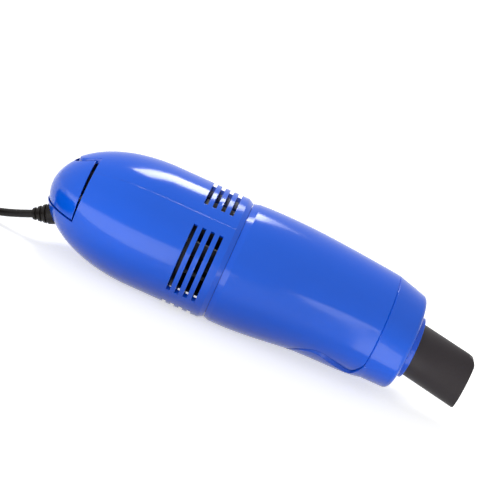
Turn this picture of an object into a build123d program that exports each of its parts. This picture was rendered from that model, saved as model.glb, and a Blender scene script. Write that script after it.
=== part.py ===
from build123d import *
import os
from math import cos, radians, sin, sqrt, tan

# Keyboard vacuum cleaner on a USB lead, in millimetres. The pieces are drawn about the body's
# axis, with X = 0 at the joint between the rear housing and the dust cup and +X towards the
# nozzle, and are then lifted onto the floor plane Z = 0. The lead is drawn on the floor.

# Body form along X
rear_length = 67.0
cup_length = 56.5
cap_length = 11.8
collar_proud = 1.2
nozzle_reach = 23.1
body_radius = 22.4
joint_step = 0.5
joint_bevel = 1.8
joint_depth = 0.5
joint_gap = 0.1
barrel_length = 28.0
shoulder_share = 0.64
crown_share = 0.48
belly_depth = 0.3

# Clearances, and how far cutting tools run past what they cut
static_fit = 0.1
running_fit = 0.05
sliding_fit = 0.2
overrun = 6.0

# Rear housing shells
wall = 1.8
rib = 1.0
rib_depth = 1.4
parting_angle = 45.0
vent_rows = 4
vent_groups = 4
vent_width = 1.4
vent_pitch = 3.1
vent_first = 5.2
vent_half_angle = 34.0
lip_depth = 1.5
wire_notch_width = 6.0
wire_notch_depth = 4.5

# Bosses on the parting plane: screws on the far seam, locating pegs on the near one
shell_boss_front = 21.8
shell_boss_rear = 45.2
shell_boss_inset = 2.2
shell_boss_radius = 2.4
shell_peg_radius = 1.3
shell_peg_length = 3.0
shell_screw_radius = 1.1
shell_screw_length = 9.0
shell_screw_seat = 3.5
shell_head_radius = 2.0
shell_head_height = 1.5

# Tail button between the hood and the chin
slit_place = 53.0
slit_gap = 0.5
slit_top_gap = 1.8
chin_level = -5.3
chin_gap = 0.4
hood_length = 7.8
hood_half_width = 5.8
hood_gap = 0.4
hood_tip_gap = 1.3
button_sink = 0.5
button_wall = 1.6
button_stem_radius = 2.0
pivot_back = 3.0
pivot_level = -2.6
pivot_pin_radius = 1.0
pivot_pin_half = 12.0
pivot_boss_radius = 2.1
pivot_boss_inside = 9.5
pivot_lug_thickness = 1.9

# Push switch on its plate
switch_plate_thickness = 1.2
switch_plate_ahead = 1.6
switch_plate_cut = -7.0
switch_level = 7.0
switch_size = 8.0
switch_depth = 6.0
switch_post_radius = 0.5
switch_post_length = 0.9
plunger_radius = 1.6
plunger_reach = 2.8
plunger_inside = 3.0

# Motor
motor_mount_place = 16.4
motor_mount_thickness = 1.8
motor_radius = 12.0
motor_length = 25.0
motor_wall = 0.9
motor_boss_radius = 3.1
motor_boss_length = 1.5
motor_bell_thickness = 2.4
motor_bell_plug = 1.6
motor_shaft_radius = 1.0
motor_bush_radius = 2.3
motor_bush_length = 2.4
magnet_thickness = 1.8
magnet_length = 18.0
magnet_half_angle = 62.0
armature_radius = 8.7
armature_length = 13.0
armature_poles = 3
armature_neck = 3.0
armature_rim = 1.8
armature_slot = 2.4
commutator_radius = 2.6
commutator_length = 4.0
terminal_offset = 7.5
terminal_thickness = 0.5
terminal_width = 2.2
terminal_length = 1.6
motor_screw_offset = 8.0
motor_screw_radius = 1.0
motor_screw_length = 3.4
motor_screw_head = 1.9
motor_screw_sink = 1.1
cradle_shares = (0.25, 0.92)

# Impeller and the plate with the spigot in front of it
impeller_gap = 4.2
impeller_back = 15.1
impeller_front = 4.6
impeller_plate = 1.2
impeller_hub_radius = 3.2
impeller_hub_length = 9.0
blade_count = 9
blade_thickness = 1.0
blade_root = 4.6
blade_sweep_angle = 42.0
blade_bow_share = 0.16
inlet_plate_thickness = 1.8
inlet_eye_radius = 9.0
inlet_lip = 0.7
inlet_spokes = 3
inlet_spoke_width = 1.3
inlet_hub_radius = 2.4
spigot_wall = 2.0
spigot_length = 6.5
seal_place = 3.2
seal_radius = 0.65

# Filter basket on the spigot
filter_sleeve = 4.0
filter_wall = 1.6
filter_flange = 1.5
filter_length = 22.0
filter_step = 0.8
filter_taper = 5.5
filter_rib_thickness = 1.2
filter_rib_width = 1.7
filter_ribs = 6
filter_end = 1.4
cloth_thickness = 0.6

# Dust cup and nose cap: loss of radius and rise of the centre at stations along the cup
cup_wall = 1.6
skirt_wall = 1.9
seam_bevel = 0.3
cup_skirt = 7.6
cup_back_share = 0.28
cup_back_rise = 0.5
cup_waist_share = 0.62
cup_waist_drop = 1.55
cup_waist_rise = 1.2
cup_front_drop = 2.9
cup_front_rise = 0.7
cap_front_drop = 1.65
cap_front_rise = -0.95
cap_edge_radius = 2.0
cap_wall = 2.2
cap_spigot_length = 5.0
cap_spigot_wall = 1.4
tongue_rise = 0.3
tongue_seat = 0.7
tongue_gap = 0.25
tongue_length = 26.2
tongue_rear_half_width = 20.3
tongue_corner = 9.5
tongue_neck = 3.2
tongue_neck_half_width = 9.6
tongue_neck_radius = 1.5
tongue_root_half_width = 16.0
tongue_blend = 1.5

# Nozzle, its ring and the duct behind it
collar_level = -1.6
collar_inset = 6.95
collar_lip = 0.45
collar_wall = 0.75
collar_flange = 1.6
collar_flange_depth = 1.45
duct_wall = 1.5
duct_step = 0.2
duct_length = 18.0
duct_deck = 1.5
nozzle_root_step = 0.3
nozzle_wall = 1.4
nozzle_plug = 4.6
nozzle_drop = 4.0
nozzle_tip_half_height = 10.0
nozzle_tip_half_width = 4.7
nozzle_waist_share = 0.3
nozzle_waist_drop = 1.1
nozzle_top_corner = 2.8
nozzle_bottom_corner = 0.7

# Lead, its strain relief and the put-away coil on the floor
cord_radius = 1.4
relief_place = 68.6
relief_inset = 8.5
relief_angle = 25.0
relief_taper = 5.6
relief_base_radius = 3.7
relief_end_radius = 2.05
relief_ribs = 3
relief_groove = 0.5
relief_sleeve = 6.2
relief_flange_radius = 4.4
relief_flange = 1.2
tie_thickness = 0.4
tie_width = 4.0
tie_gap = 0.3
lead_end_run = 14.8
coil_inner_radius = 11.4
coil_pitch = 3.3
coil_first_turns = 2.25
coil_pass_turns = 2.75
coil_climb_turns = 0.5
coil_layers = 4
tail_points = ((-12.8, 18.825, 11.8), (-24.8, 18.825, 4.0))
tail_end = (-34.8, 18.825, 4.0)

# USB plug
plug_length = 22.0
plug_width = 14.5
plug_height = 8.0
plug_corner = 1.6
plug_neck = 4.0
plug_neck_radius = 2.6
plug_shell_width = 12.0
plug_shell_height = 4.5
plug_shell_length = 12.0
plug_shell_wall = 0.35
plug_window = 2.0
plug_window_offset = 2.6
plug_window_back = 4.8
plug_tongue_thickness = 1.9
plug_contact_width = 1.1
plug_contact_thickness = 0.3
plug_contact_length = 8.0
plug_contacts_count = 4
plug_contact_pitch = 2.3

# Lead wires inside the housing
wire_radius = 0.6

# Worked-out places
inner_radius = body_radius - wall
joint_radius = body_radius - joint_step
groove_radius = joint_radius - joint_depth
impeller_radius = inner_radius - impeller_gap
spigot_radius = joint_radius - skirt_wall - sliding_fit
face_place = cup_length + cap_length
collar_face = face_place + collar_proud
nozzle_tip = collar_face + nozzle_reach
total_length = rear_length + nozzle_tip
axis_height = body_radius - belly_depth
slit_x = -slit_place
pivot_x = slit_x - pivot_back
plate_front = -lip_depth
plate_back = plate_front - inlet_plate_thickness
mount_back = -motor_mount_place - motor_mount_thickness
motor_back = mount_back - motor_length
bell_back = motor_back - motor_bell_thickness
switch_plate_back = slit_x + switch_plate_ahead
switch_plate_front = switch_plate_back + switch_plate_thickness
switch_back = switch_plate_back - switch_depth
plunger_end = switch_back - plunger_reach
seat_radius = inner_radius - static_fit
spigot_bore_radius = spigot_radius - spigot_wall
filter_base_radius = spigot_bore_radius - filter_step
filter_tip_radius = filter_base_radius - filter_taper
cup_waist_radius = joint_radius - cup_waist_drop
cup_front_radius = joint_radius - cup_front_drop
cap_front_radius = cup_front_radius - cap_front_drop
collar_radius = cap_front_radius - collar_inset
collar_neck_radius = collar_radius - collar_lip
collar_bore_radius = collar_neck_radius - collar_wall
collar_flange_radius = collar_neck_radius + collar_flange_depth
duct_bore_radius = collar_bore_radius - duct_step
nozzle_root_radius = collar_bore_radius + nozzle_root_step
nozzle_waist_half_width = nozzle_root_radius - nozzle_waist_drop
relief_level = relief_inset - body_radius
magnet_radius = motor_radius - motor_wall - static_fit
cord_diameter = cord_radius + cord_radius
cord_level = tie_thickness + static_fit + cord_radius
frame_shift = rear_length - total_length / 2
to_rest = Pos(frame_shift, 0, axis_height)
parting_normal = (0, sin(radians(parting_angle)), cos(radians(parting_angle)))
parting = Plane(origin=(0, 0, 0), x_dir=(1, 0, 0), z_dir=parting_normal)
across = parting.z_dir
along = parting.y_dir


def rod(radius, start, end):
    """Round rod between two points."""
    run = Vector(*end) - Vector(*start)
    return extrude(Plane(origin=start, z_dir=run) * Circle(radius), amount=run.length)


def disc(radius, back, front, level=0):
    """Round disc about a line along X, from back to front."""
    return rod(radius, (back, 0, level), (front, 0, level))


def ring(outer, inner, back, front, level=0):
    """Flat ring or sleeve about a line along X."""
    return disc(outer, back, front, level) - disc(inner, back - overrun, front + overrun, level)


def block(low, high):
    """Box between two corners."""
    size = Vector(*high) - Vector(*low)
    return Pos(*low) * Box(size.X, size.Y, size.Z, align=(Align.MIN, Align.MIN, Align.MIN))


def turned(points):
    """Solid turned about the X axis from an outline of (x, radius) points."""
    return revolve(make_face(Polyline(*points, close=True)), Axis.X)


def bullet(radius, front, front_radius, tail):
    """Round body with a flat front and a domed tail, about the X axis."""
    barrel = -barrel_length
    depth = barrel - tail
    shoulder = (barrel - shoulder_share * depth, radius)
    dome = Bezier((barrel, radius), shoulder, (tail, crown_share * radius), (tail, 0))
    bevel_end = (front - joint_bevel, radius)
    rim = Polyline((tail, 0), (front, 0), (front, front_radius), bevel_end, (barrel, radius))
    return revolve(make_face([dome, rim]), Axis.X)


def dome_radius(radius, tail, place):
    """Radius of a bullet's dome at a place along X, found by halving."""
    depth = -barrel_length - tail
    low, high = 0, 1
    for _ in range(40):
        t = (low + high) / 2
        run = 3 * (1 - t) ** 2 * t * shoulder_share + 3 * (1 - t) * t ** 2 + t ** 3
        low, high = (t, high) if -barrel_length - depth * run > place else (low, t)
    return radius * ((1 - t) ** 3 + 3 * (1 - t) ** 2 * t + 3 * (1 - t) * t ** 2 * crown_share)


def barrel(stations):
    """Smooth round form through (x, radius, rise) stations."""
    return loft([Plane.YZ.offset(x) * Pos(0, rise) * Circle(radius) for x, radius, rise in stations])


def side_prism(outline):
    """Prism across the whole body from an outline of (x, z) points."""
    face = Plane.XZ * make_face(Polyline(*outline, close=True))
    return extrude(face, amount=body_radius + overrun, both=True)


def corner_radii(points, share=0.45):
    """Radius at each corner of a route: as large as its two runs allow."""
    radii = []
    for before, here, after in zip(points, points[1:], points[2:]):
        run_in = Vector(*here) - Vector(*before)
        run_out = Vector(*after) - Vector(*here)
        half_turn = radians(run_in.get_angle(run_out) / 2)
        radii.append(share * min(run_in.length, run_out.length) / tan(half_turn))
    return radii


def tube(path, radius):
    """Round tube along a path."""
    return sweep(Plane(origin=path @ 0, z_dir=path % 0) * Circle(radius), path=path)


def routed(points, radius):
    """Round tube along straight runs joined by tangent arcs."""
    return tube(FilletPolyline(*points, radius=corner_radii(points)), radius)


# Rear housing


def rear_form():
    """Outer form of the rear housing."""
    return bullet(body_radius, 0, groove_radius, -rear_length)


def vent_cutter():
    """Slots in rows along X, in groups round the housing."""
    step = 360 / vent_groups
    sheet = Circle(body_radius + overrun) - Circle(inner_radius - rib_depth)
    reach = body_radius + overrun + overrun
    spread = reach * tan(radians(step / 2 - vent_half_angle))
    bridge = Polygon((0, 0), (reach, spread), (reach, -spread), align=None)
    sheet -= [Rot(0, 0, step * k + step / 2) * bridge for k in range(vent_groups)]
    slot = extrude(Plane.YZ * sheet, amount=vent_width / 2, both=True)
    return [Pos(-vent_first - vent_pitch * k, 0, 0) * slot for k in range(vent_rows)]


def rib_ring(form, back, front, bore):
    """Rib ring that fills the housing's form down to a bore."""
    return (disc(body_radius, back, front) & form) - disc(bore, back - overrun, front + overrun)


def housing_ribs(form):
    """Rib rings that hold the motor, its mount, the inlet plate and the switch plate."""
    hold = seat_radius - rib_depth
    mount_front = -motor_mount_place
    ribs = [
        rib_ring(form, plate_back - static_fit - rib, plate_back - static_fit, hold),
        rib_ring(form, mount_front + static_fit, mount_front + static_fit + rib, hold),
        rib_ring(form, mount_back - static_fit - rib, mount_back - static_fit, hold),
    ]
    for share in cradle_shares:
        place = mount_back - share * motor_length
        ribs.append(rib_ring(form, place - rib, place, motor_radius + static_fit))
    switch_bore = switch_plate_radius() - rib_depth
    ahead = switch_plate_front + static_fit
    behind = switch_plate_back - static_fit
    ribs.append(rib_ring(form, ahead, ahead + rib, switch_bore))
    ribs.append(rib_ring(form, behind - rib / 2, behind, switch_bore))
    notch_low = (slit_x - overrun, -wire_notch_width / 2, -body_radius)
    notch_high = (mount_back - rib - rib, wire_notch_width / 2, wire_notch_depth - inner_radius)
    notch = block(notch_low, notch_high)
    return [piece - notch for piece in ribs]


def seam_feet(side):
    """Centres of the front and rear boss on one seam of the parting plane."""
    dome = dome_radius(inner_radius, wall - rear_length, -shell_boss_rear)
    front = Vector(-shell_boss_front, 0, 0) + along * (side * (inner_radius - shell_boss_inset))
    rear = Vector(-shell_boss_rear, 0, 0) + along * (side * (dome - shell_boss_inset))
    return [front, rear]


def shell_bosses(form):
    """Bosses that stand on the parting plane along both seams."""
    reach = across * body_radius
    feet = seam_feet(1) + seam_feet(-1)
    return [rod(shell_boss_radius, foot - reach, foot + reach) & form for foot in feet]


def pivot_lugs(form):
    """Lugs that stand in the chin and carry the button's pin."""
    outer = pivot_boss_inside - sliding_fit
    lugs = []
    for side in (1, -1):
        near = side * (outer - pivot_lug_thickness)
        far = side * outer
        low_y, high_y = min(near, far), max(near, far)
        low = (pivot_x - pivot_boss_radius, low_y, -body_radius)
        foot = block(low, (pivot_x + pivot_boss_radius, high_y, pivot_level))
        head = rod(pivot_boss_radius, (pivot_x, low_y, pivot_level), (pivot_x, high_y, pivot_level))
        lugs.append((foot & form) + head)
    return lugs


def hood_prism(length, half_width):
    """Upright prism of the hood's rounded tongue."""
    tongue = Ellipse(length, half_width) & Pos(-length, 0) * Rectangle(length + length, body_radius)
    return extrude(Plane.XY * Pos(slit_x, 0) * tongue, amount=body_radius + overrun)


def relief_axis():
    """Point at the outer end of the strain relief, and the direction that the lead leaves in."""
    direction = Vector(-cos(radians(relief_angle)), 0, -sin(radians(relief_angle)))
    return Vector(-relief_place, 0, relief_level), direction


def relief_inlet():
    """Middle of the strain relief's inner end."""
    end, direction = relief_axis()
    return end - direction * (relief_taper + relief_sleeve + relief_flange)


def screw_drilling():
    """Clearance holes with counterbores above the parting plane, and pilot holes below it."""
    cuts = []
    for foot in seam_feet(1):
        seat = foot + across * shell_screw_seat
        tip = seat - across * (shell_screw_length + static_fit)
        cuts.append(rod(shell_screw_radius + static_fit, tip, seat + across * overrun))
        cuts.append(rod(shell_head_radius + sliding_fit, seat, seat + across * (body_radius + overrun)))
    return cuts


def locating_pegs(grow):
    """Pegs across the near seam, or their holes when grown by a clearance."""
    radius = shell_peg_radius + grow
    reach = shell_peg_length + grow
    return [rod(radius, foot - across * rib, foot + across * reach) for foot in seam_feet(-1)]


def rear_shells():
    """The two half shells of the rear housing."""
    form = rear_form()
    cavity = bullet(inner_radius, plate_front, inner_radius, wall - rear_length)
    mouth = disc(spigot_radius + static_fit, plate_front - overrun, overrun)
    skin = form - cavity - mouth
    skin -= vent_cutter()
    skin += housing_ribs(form)
    skin += shell_bosses(form)
    reach = body_radius + overrun
    skin -= block((-rear_length, -reach, -reach), (overrun, reach, -axis_height))
    front = skin & block((slit_x, -reach, -reach), (overrun, reach, reach))
    behind = skin & block((-rear_length - overrun, -reach, -reach), (slit_x, reach, reach))
    front -= screw_drilling()
    hood = behind & hood_prism(hood_length, hood_half_width)
    chin = behind & block((-rear_length - overrun, -reach, -reach), (slit_x, reach, chin_level))
    upper = split(front, bisect_by=parting, keep=Keep.TOP) + hood - locating_pegs(static_fit)
    lower = split(front, bisect_by=parting, keep=Keep.BOTTOM) + chin + pivot_lugs(form) + locating_pegs(0)
    pin_end = Vector(0, pivot_pin_half + overrun, 0)
    pin_middle = Vector(pivot_x, 0, pivot_level)
    lower -= rod(pivot_pin_radius + static_fit / 2, pin_middle - pin_end, pin_middle + pin_end)
    end, direction = relief_axis()
    lower -= rod(relief_base_radius + static_fit, end, relief_inlet())
    return lower, upper


def shell_screws():
    """Self-tapping screws that draw the two half shells together."""
    screws = []
    for foot in seam_feet(1):
        seat = foot + across * shell_screw_seat
        shank = rod(shell_screw_radius, seat - across * shell_screw_length, seat)
        head = rod(shell_head_radius, seat, seat + across * shell_head_height)
        driver = rod(shell_screw_radius, seat + across * (shell_head_height / 2), seat + across * overrun)
        screws.append(shank + head - driver)
    return screws


# Tail button and its switch


def tail_button():
    """Domed push button behind the slit, with its pivot bosses and the stem that meets the switch."""
    radius = body_radius - button_sink
    tail = button_sink - rear_length
    form = bullet(radius, 0, radius, tail)
    hollow = bullet(radius - button_wall, overrun, radius - button_wall, tail + button_wall)
    bottom = chin_level + chin_gap
    top = body_radius + overrun
    slope = (slit_top_gap - slit_gap) / (body_radius - bottom)
    front_low = (slit_x - slit_gap, bottom)
    front_high = (slit_x - slit_gap - slope * (top - bottom), top)
    rear = tail - overrun
    zone = side_prism([front_low, front_high, (rear, top), (rear, bottom)])
    skin = (form - hollow) & zone
    stem_start = (tail, 0, switch_level)
    stem = rod(button_stem_radius, stem_start, (plunger_end - sliding_fit, 0, switch_level)) & form
    skin += stem
    for side in (1, -1):
        inside = (pivot_x, side * pivot_boss_inside, pivot_level)
        outside = (pivot_x, side * body_radius, pivot_level)
        skin += rod(pivot_boss_radius, inside, outside) & form & zone
        hole_end = (pivot_x, side * (pivot_pin_half + sliding_fit), pivot_level)
        skin -= rod(pivot_pin_radius + running_fit, (pivot_x, 0, pivot_level), hole_end)
    return skin - hood_prism(hood_length + hood_tip_gap, hood_half_width + hood_gap)


def button_pin():
    """Steel cross pin that the tail button tilts on."""
    start = (pivot_x, -pivot_pin_half, pivot_level)
    return rod(pivot_pin_radius, start, (pivot_x, pivot_pin_half, pivot_level))


def switch_plate_radius():
    """Radius of the switch plate, which seats inside the narrowing housing."""
    return dome_radius(inner_radius, wall - rear_length, switch_plate_back) - static_fit


def switch_plate():
    """Plate across the housing that carries the switch, cut away below for the wires."""
    plate = disc(switch_plate_radius(), switch_plate_back, switch_plate_front)
    reach = body_radius
    plate -= block((switch_plate_back - overrun, -reach, -reach), (overrun, reach, switch_plate_cut))
    for level in switch_post_levels():
        plate -= disc(switch_post_radius + static_fit, switch_plate_back - overrun, overrun, level)
    return plate


def switch_post_levels():
    """Heights of the switch's lower and upper solder posts."""
    return switch_level - switch_size / 4, switch_level + switch_size / 4


def switch_body():
    """Push switch on the back of the plate, with its two solder posts through the plate."""
    half = switch_size / 2
    low = (switch_back, -half, switch_level - half)
    body = block(low, (switch_plate_back, half, switch_level + half))
    body = chamfer(body.edges().filter_by(Axis.X), length=switch_size / 10)
    inside = (switch_back + plunger_inside + sliding_fit + plunger_reach / 2, 0, switch_level)
    body -= rod(plunger_radius + running_fit, (switch_back - overrun, 0, switch_level), inside)
    for level in switch_post_levels():
        body += disc(switch_post_radius, switch_plate_back, switch_plate_front + switch_post_length, level)
    return body


def switch_plunger():
    """Plunger that the button's stem pushes."""
    return disc(plunger_radius, plunger_end, switch_back + plunger_inside, switch_level)


# Motor


def motor_mount():
    """Round plate that the motor is screwed to, held between two rib rings."""
    plate = disc(seat_radius, mount_back, -motor_mount_place)
    plate -= disc(motor_boss_radius + static_fit, mount_back - overrun, overrun)
    for side in (1, -1):
        level = side * motor_screw_offset
        plate -= disc(motor_screw_radius + static_fit, mount_back - overrun, overrun, level)
        plate -= disc(motor_screw_head + static_fit, -motor_mount_place - motor_screw_sink, overrun, level)
    return plate


def motor_screws():
    """Two screws that hold the motor to its mount, with sunk heads."""
    seat = -motor_mount_place - motor_screw_sink
    screws = []
    for side in (1, -1):
        level = side * motor_screw_offset
        shank = disc(motor_screw_radius, seat - motor_screw_length, seat, level)
        head = disc(motor_screw_head, seat, -motor_mount_place, level)
        driver = disc(motor_screw_radius, seat + motor_screw_sink / 2, overrun, level)
        screws.append(shank + head - driver)
    return screws


def motor_can():
    """Steel can of the motor, closed in front with a boss for the bush."""
    inside = motor_radius - motor_wall
    can = disc(motor_radius, motor_back, mount_back)
    can += disc(motor_boss_radius, mount_back, mount_back + motor_boss_length)
    can -= disc(inside, motor_back - overrun, mount_back - motor_wall)
    can -= disc(motor_bush_radius + static_fit / 2, mount_back - overrun, overrun)
    for side in (1, -1):
        can -= disc(motor_screw_radius + static_fit, mount_back - overrun, overrun, side * motor_screw_offset)
    return can


def motor_magnets():
    """Two curved magnets inside the can."""
    back = (motor_back + mount_back - magnet_length) / 2
    sleeve = ring(magnet_radius, magnet_radius - magnet_thickness, back, back + magnet_length)
    reach = body_radius
    spread = reach * tan(radians(magnet_half_angle))
    wedge = Polygon((0, 0), (reach, -spread), (reach, spread), align=None)
    pieces = []
    for side in (0, 180):
        sector = extrude(Plane.YZ.offset(back) * Rot(0, 0, side) * wedge, amount=magnet_length)
        pieces.append(sleeve & sector)
    return pieces


def motor_armature():
    """Three-pole laminated core on the shaft."""
    back = (motor_back + mount_back - armature_length) / 2
    core = Circle(armature_radius) - Circle(armature_radius - armature_rim)
    pole = Pos(armature_radius / 2, 0) * Rectangle(armature_radius, armature_neck)
    slot = Pos(armature_radius, 0) * Rectangle(armature_radius, armature_slot)
    step = 360 / armature_poles
    core -= [Rot(0, 0, step * k + step / 2) * slot for k in range(armature_poles)]
    core += [Rot(0, 0, step * k) * pole for k in range(armature_poles)]
    core += Circle(armature_neck)
    core = (core & Circle(armature_radius)) - Circle(motor_shaft_radius + static_fit / 2)
    return extrude(Plane.YZ.offset(back) * core, amount=armature_length)


def motor_commutator():
    """Copper commutator on the shaft, between the core and the end bell."""
    back = motor_back + motor_bell_plug + static_fit
    return ring(commutator_radius, motor_shaft_radius + static_fit / 2, back, back + commutator_length)


def motor_shaft():
    """Steel shaft from the rear bush to the impeller's hub."""
    return disc(motor_shaft_radius, bell_back + static_fit, hub_front() - static_fit)


def motor_bushes():
    """Sintered bushes that the shaft runs in, one in the can's boss and one in the end bell."""
    front = mount_back + motor_boss_length
    bore = motor_shaft_radius + running_fit
    return [
        ring(motor_bush_radius, bore, front - motor_bush_length, front),
        ring(motor_bush_radius, bore, bell_back, bell_back + motor_bush_length),
    ]


def motor_end_bell():
    """Moulded end bell that closes the back of the can and holds the terminals."""
    bell = disc(motor_radius, bell_back, motor_back)
    bell += disc(motor_radius - motor_wall - static_fit, motor_back, motor_back + motor_bell_plug)
    bell -= disc(motor_bush_radius + static_fit / 2, bell_back - overrun, overrun)
    for side in (1, -1):
        bell -= terminal_blank(side, static_fit)
    return bell


def terminal_blank(side, grow):
    """Flat terminal tab through the end bell, grown on every face by a clearance."""
    near = side * terminal_offset - terminal_thickness / 2 - grow
    far = side * terminal_offset + terminal_thickness / 2 + grow
    half = terminal_width / 2 + grow
    front = motor_back + motor_bell_plug
    return block((bell_back - terminal_length, near, -half), (front, far, half))


def motor_terminals():
    """Two brass solder tabs."""
    return [terminal_blank(side, 0) for side in (1, -1)]


# Fan


def hub_front():
    """Front of the impeller's hub."""
    return impeller_hub_length - impeller_back


def impeller():
    """Centrifugal impeller with backward-swept blades on a round back plate."""
    back = -impeller_back
    blade_back = back + impeller_plate
    wheel = disc(impeller_radius, back, blade_back) + disc(impeller_hub_radius, back, hub_front())
    tip = impeller_radius - blade_thickness / 2
    sweep_end = radians(-blade_sweep_angle)
    root = Vector(blade_root, 0)
    end = Vector(tip * cos(sweep_end), tip * sin(sweep_end))
    chord = end - root
    middle = (root + end) / 2 + Vector(-chord.Y, chord.X) * blade_bow_share
    outline = trace(ThreePointArc(root, middle, end), line_width=blade_thickness)
    blade = extrude(Plane.YZ.offset(blade_back) * outline, amount=-impeller_front - blade_back)
    wheel += [Rot(360 / blade_count * k, 0, 0) * blade for k in range(blade_count)]
    return wheel - disc(motor_shaft_radius + static_fit / 2, back - overrun, overrun)


def fan_inlet_plate():
    """Plate in front of the impeller, with its eye and guard, and the spigot that the cup pushes onto."""
    plate = disc(seat_radius, plate_back, plate_front)
    plate += disc(spigot_radius, plate_front, spigot_length)
    plate -= disc(spigot_bore_radius, plate_front, spigot_length + overrun)
    plate += disc(inlet_eye_radius + inlet_plate_thickness, plate_back - inlet_lip, plate_back)
    plate -= disc(inlet_eye_radius, plate_back - overrun, overrun)
    spoke = Pos(inlet_eye_radius / 2, 0) * Rectangle(inlet_eye_radius + inlet_spoke_width, inlet_spoke_width)
    guard = Circle(inlet_hub_radius)
    guard += [Rot(0, 0, 360 / inlet_spokes * k) * spoke for k in range(inlet_spokes)]
    plate += extrude(Plane.YZ.offset(plate_back) * guard, amount=inlet_plate_thickness)
    groove_half = seal_radius + static_fit
    groove_floor = spigot_radius + sliding_fit - running_fit - seal_radius - seal_radius - running_fit
    groove = ring(spigot_radius + overrun, groove_floor, seal_place - groove_half, seal_place + groove_half)
    return plate - groove


def seal_ring():
    """Rubber ring in the spigot's groove."""
    centre = spigot_radius + sliding_fit - running_fit - seal_radius
    return revolve(Pos(seal_place, centre) * Circle(seal_radius), Axis.X)


# Filter


def basket_shell(grow, thickness):
    """Tapered shell from the filter's flange to its tip."""
    back = spigot_length + filter_flange
    front = back + filter_length
    base = filter_base_radius + grow
    tip = filter_tip_radius + grow
    outer = [(back, base), (front, tip)]
    inner = [(front, tip - thickness), (back, base - thickness)]
    return turned(outer + inner)


def filter_frame():
    """Frame of the filter: sleeve in the spigot, flange, tapered ribs and end ring."""
    sleeve_radius = spigot_bore_radius - static_fit
    bore = sleeve_radius - filter_wall
    flange_front = spigot_length + filter_flange
    front = flange_front + filter_length
    frame = ring(sleeve_radius, bore, spigot_length - filter_sleeve, spigot_length)
    frame += ring(spigot_radius - sliding_fit, bore, spigot_length, flange_front)
    shell = basket_shell(0, filter_rib_thickness)
    half = filter_rib_width / 2
    bar = block((flange_front, -half, 0), (front, half, body_radius))
    frame += [shell & (Rot(360 / filter_ribs * k, 0, 0) * bar) for k in range(filter_ribs)]
    end_bore = filter_tip_radius - filter_rib_thickness
    return frame + ring(filter_tip_radius, end_bore, front, front + filter_end)


def filter_cloth():
    """Filter cloth bag inside the ribs."""
    gap = filter_rib_thickness + static_fit / 2
    front = spigot_length + filter_flange + filter_length
    tip = filter_tip_radius - gap
    return basket_shell(-gap, cloth_thickness) + disc(tip, front - cloth_thickness, front)


# Dust cup and nose cap


def cup_stations(grow):
    """Stations of the cup's form, as (x, radius, rise) and grown by a thickness."""
    run = cup_length - joint_gap
    return [
        (joint_gap, joint_radius + grow, 0),
        (joint_gap + cup_back_share * run, joint_radius + grow, cup_back_rise),
        (joint_gap + cup_waist_share * run, cup_waist_radius + grow, cup_waist_rise),
        (cup_length, cup_front_radius + grow, cup_front_rise),
    ]


def joint_groove():
    """Cone that bevels the cup's edge at the ring joint."""
    slope = joint_depth / joint_bevel
    back = joint_gap - overrun
    front = joint_gap + joint_bevel + overrun
    low = groove_radius - slope * overrun
    high = groove_radius + slope * (joint_bevel + overrun)
    return turned([(back, low), (front, high), (back, high)])


def tongue_prism(grow):
    """Upright prism of the cap's tongue under the cup: rounded behind, with a neck near the cap."""
    rear = cup_length - tongue_length - grow
    neck = cup_length - tongue_neck
    front = cup_length + tongue_blend
    wide = tongue_rear_half_width + grow
    narrow = tongue_neck_half_width + grow
    root = tongue_root_half_width + grow
    half = [(front, root), (cup_length - grow, root), (neck - grow, narrow), (rear, wide)]
    other = [(x, -y) for x, y in reversed(half)]
    outline = Polygon(*half, *other, align=None)
    places = outline.vertices().group_by(Axis.X)
    outline = fillet(places[1], radius=tongue_neck_radius)
    outline = fillet(outline.vertices().group_by(Axis.X)[0], radius=tongue_corner + grow)
    return extrude(Plane.XY * outline, amount=-body_radius)


def cap_station(place, grow):
    """Station on the nose cap between the cup's front and the cap's face."""
    share = (place - cup_length) / cap_length
    radius = cup_front_radius + share * (cap_front_radius - cup_front_radius)
    rise = cup_front_rise + share * (cap_front_rise - cup_front_rise)
    return place, radius + grow, rise


def dust_cup():
    """Cup that pulls off the spigot, open at both ends."""
    outer = barrel(cup_stations(0))
    outer = chamfer(outer.edges().group_by(Axis.X)[-1], length=seam_bevel) - joint_groove()
    reach = body_radius + overrun
    room = block((cup_skirt, -reach, -reach), (cup_length, reach, reach))
    cup = outer - (barrel(cup_stations(-cup_wall)) & room)
    cup -= disc(spigot_radius + sliding_fit, -overrun, cup_skirt)
    seat = barrel(cup_stations(-tongue_seat - static_fit))
    return cup - (tongue_prism(tongue_gap) - seat)


def nose_cap():
    """Cap on the front of the cup, with its tongue, its spigot and the ring's bore."""
    outer = loft_between(cap_station(cup_length, 0), cap_station(face_place, 0))
    outer = fillet(outer.edges().group_by(Axis.X)[-1], radius=cap_edge_radius)
    outer = chamfer(outer.edges().group_by(Axis.X)[0], length=seam_bevel)
    front_wall = face_place - cap_wall
    cap = outer - loft_between(cap_station(cup_length, -cup_wall), cap_station(front_wall, -cup_wall))
    reach = body_radius + overrun
    band = block((cup_length - cap_spigot_length, -reach, -reach), (cup_length, reach, reach))
    spigot = barrel(cup_stations(-cup_wall - static_fit))
    spigot -= barrel(cup_stations(-cup_wall - cap_spigot_wall))
    cap += spigot & band
    x, radius, rise = cap_station(cup_length, -cup_wall)
    cap += barrel_ring(x, radius + cup_wall / 2, radius - cap_spigot_wall, rise)
    cap += cap_tongue()
    bore = collar_neck_radius + running_fit
    return cap - disc(bore, front_wall - overrun, face_place + overrun, collar_level)


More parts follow.
